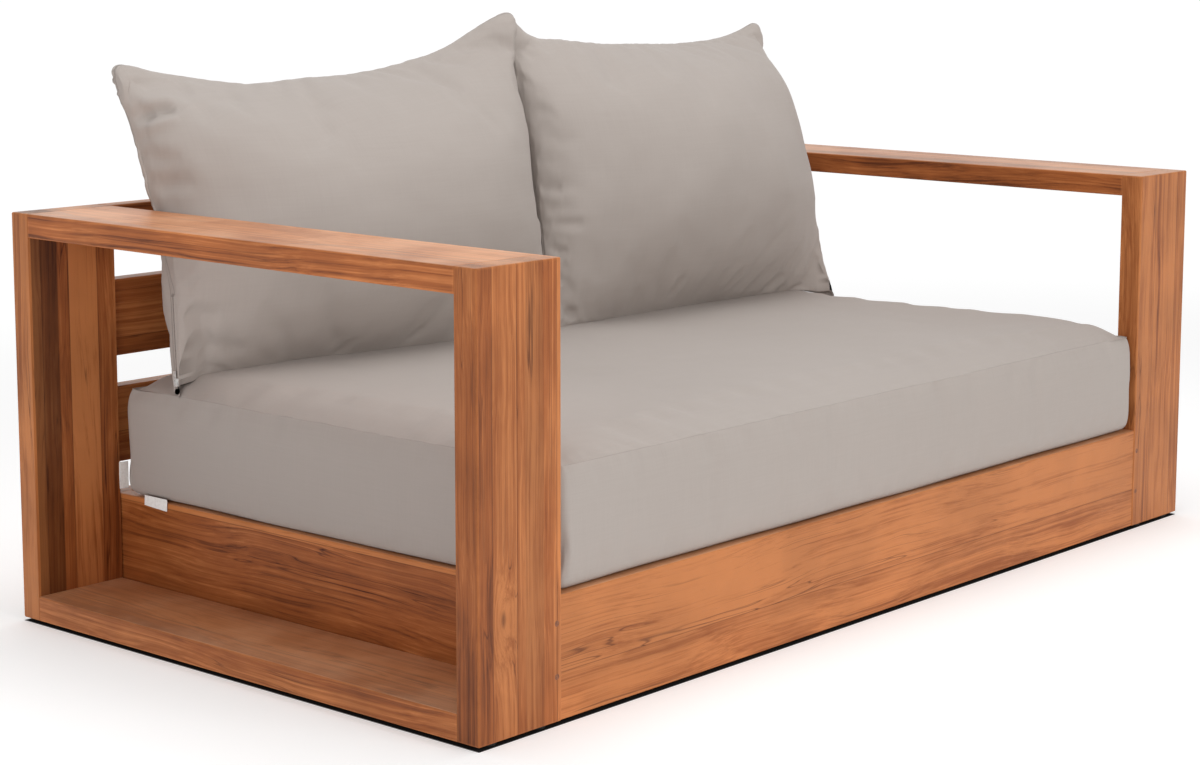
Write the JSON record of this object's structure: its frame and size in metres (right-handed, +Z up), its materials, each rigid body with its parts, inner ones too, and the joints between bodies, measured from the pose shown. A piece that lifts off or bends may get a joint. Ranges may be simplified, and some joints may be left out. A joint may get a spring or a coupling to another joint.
{
  "type": "patio loveseat",
  "caption": "Low wooden patio loveseat with plank side hoops, a slatted back and deck, one wide seat cushion and loose back cushions.",
  "frame": {"origin": "on the floor, under the middle of the wooden frame", "axes": "+X along the seat towards the sitter's left, +Y from the front to the back, +Z up"},
  "size_m": [1.745, 0.936, 0.872],
  "materials": {
    "oiled_wood": "oiled hardwood with a satin sheen",
    "deck_wood": "planed hardwood, lightly oiled",
    "wood_pin": "end-grain pegs and dowels",
    "zinc_screw": "zinc-plated steel",
    "glide_plastic": "black nylon glides",
    "cushion_fabric": "matte woven outdoor fabric, warm grey",
    "zip_tape": "woven tape with a moulded chain",
    "zip_metal": "plated cast metal",
    "tag_fabric": "bare woven tag"
  },
  "bodies": {
    "frame": {"apron_pegs": "wood_pin", "centre_bearer": "deck_wood", "deck_screws": "zinc_screw", "deck_slat_01": "deck_wood", "deck_slat_02": "deck_wood", "deck_slat_03": "deck_wood", "deck_slat_04": "deck_wood", "deck_slat_05": "deck_wood", "deck_slat_06": "deck_wood", "deck_slat_07": "deck_wood", "deck_slat_08": "deck_wood", "deck_slat_09": "deck_wood", "deck_slat_10": "deck_wood", "deck_slat_11": "deck_wood", "deck_slat_12": "deck_wood", "deck_slat_13": "deck_wood", "floor_glides": "glide_plastic", "frame_screws": "zinc_screw", "front_apron": "oiled_wood", "front_cleat": "deck_wood", "hoop_dowels": "wood_pin", "left_arm": "oiled_wood", "left_bearer_block": "deck_wood", "left_bottom_rail": "oiled_wood", "left_front_corner_block": "deck_wood", "left_front_post": "oiled_wood", "left_rear_corner_block": "deck_wood", "left_rear_post": "oiled_wood", "left_side_panel": "oiled_wood", "lower_back_slat": "oiled_wood", "middle_back_slat": "oiled_wood", "rear_apron": "oiled_wood", "rear_cleat": "deck_wood", "right_arm": "oiled_wood", "right_bearer_block": "deck_wood", "right_bottom_rail": "oiled_wood", "right_front_corner_block": "deck_wood", "right_front_post": "oiled_wood", "right_rear_corner_block": "deck_wood", "right_rear_post": "oiled_wood", "right_side_panel": "oiled_wood", "top_back_rail": "oiled_wood"},
    "seat_cushion": {"seat_cushion": "cushion_fabric", "seat_zip_tape": "zip_tape", "seat_tag": "tag_fabric"},
    "back_cushion_left": {"back_cushion_left": "cushion_fabric", "left_zip_tape": "zip_tape"},
    "back_cushion_right": {"back_cushion_right": "cushion_fabric", "right_zip_tape": "zip_tape"},
    "left_zip_slider": {"left_zip_slider": "zip_metal"},
    "left_zip_pull": {"left_zip_pull": "zip_metal"},
    "right_zip_slider": {"right_zip_slider": "zip_metal"},
    "right_zip_pull": {"right_zip_pull": "zip_metal"},
    "seat_zip_slider": {"seat_zip_slider": "zip_metal"},
    "seat_zip_pull": {"seat_zip_pull": "zip_metal"}
  },
  "joints": [
    {"name": "seat_cushion_lift", "type": "slide", "parent": "frame", "child": "seat_cushion", "axis": [0, 0, 1], "range_m": [0, 0.46]},
    {"name": "left_cushion_lift", "type": "slide", "parent": "seat_cushion", "child": "back_cushion_left", "axis": [0, 0, 1], "range_m": [0, 0.3]},
    {"name": "right_cushion_lift", "type": "slide", "parent": "seat_cushion", "child": "back_cushion_right", "axis": [0, 0, 1], "range_m": [0, 0.3]},
    {"name": "left_zip_slide", "type": "slide", "parent": "back_cushion_left", "child": "left_zip_slider", "axis": [0, 0.0397, 0.9992], "range_m": [0, 0.1197]},
    {"name": "left_zip_pull_hinge", "type": "hinge", "parent": "left_zip_slider", "child": "left_zip_pull", "pos_m": [-0.71625, 0.3008, 0.35416], "axis": [0, -0.9992, 0.0397], "range_deg": [0, 180]},
    {"name": "right_zip_slide", "type": "slide", "parent": "back_cushion_right", "child": "right_zip_slider", "axis": [0, 0.1572, 0.9876], "range_m": [0, 0.1197]},
    {"name": "right_zip_pull_hinge", "type": "hinge", "parent": "right_zip_slider", "child": "right_zip_pull", "pos_m": [0.71625, 0.19517, 0.35409], "axis": [0, 0.9876, -0.1572], "range_deg": [0, 180]},
    {"name": "seat_zip_slide", "type": "slide", "parent": "seat_cushion", "child": "seat_zip_slider", "axis": [1, 0, 0], "range_m": [0, 1.0817]},
    {"name": "seat_zip_pull_hinge", "type": "hinge", "parent": "seat_zip_slider", "child": "seat_zip_pull", "pos_m": [-0.54085, 0.41625, 0.25165], "axis": [0, 0, 1], "range_deg": [0, 180]}
  ]
}
